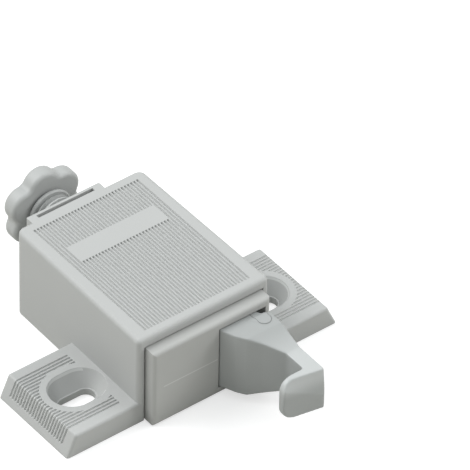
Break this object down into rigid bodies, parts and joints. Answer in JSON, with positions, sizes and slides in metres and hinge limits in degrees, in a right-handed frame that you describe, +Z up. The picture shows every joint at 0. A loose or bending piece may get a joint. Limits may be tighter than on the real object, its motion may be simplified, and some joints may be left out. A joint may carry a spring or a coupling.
{
  "type": "cupboard catch latch",
  "caption": "Surface cupboard catch: ribbed grey housing with slotted ears, sprung hook on a sliding carriage, drawn in and out by a star knob on a coarse screw.",
  "frame": {"origin": "midway between the two screw slots, on the mounting plane", "axes": "+X across, towards the side of the hook; -Y the way the hook reaches, +Y towards the knob; +Z up from the mounting plane"},
  "size_m": [0.087, 0.0961, 0.032],
  "materials": {
    "housing_plastic": "fine moulded texture",
    "carriage_plastic": "fine moulded texture",
    "hook_plastic": "smooth satin",
    "knob_plastic": "smooth satin",
    "plate_steel": "plain",
    "pin_steel": "ground",
    "spring_steel": "drawn wire"
  },
  "bodies": {
    "housing": {"housing": "housing_plastic", "retaining_plate": "plate_steel"},
    "carriage": {"carriage": "carriage_plastic", "hook_pin": "pin_steel", "hook_spring": "spring_steel"},
    "hook": {"hook": "hook_plastic"},
    "knob": {"adjusting_knob": "knob_plastic"}
  },
  "joints": [
    {"name": "knob_turn", "type": "hinge", "parent": "housing", "child": "knob", "pos_m": [-0.0037, 0.04635, 0.0203], "axis": [0, 1, 0], "range_deg": [-720, 720]},
    {"name": "carriage_slide", "type": "slide", "parent": "housing", "child": "carriage", "axis": [0, -1, 0], "range_m": [-0.0035, 0.0035]},
    {"name": "hook_swing", "type": "hinge", "parent": "carriage", "child": "hook", "pos_m": [0.01361, -0.01245, 0.01235], "axis": [0, 0, 1], "range_deg": [0, 14], "stiffness_Nm_per_rad": 0.25, "springref_deg": -28.65, "deforming": ["hook_spring"]}
  ],
  "couplings": [
    {"joint": "knob_turn", "follows": "carriage_slide", "rad_per_m": 3590.4}
  ]
}
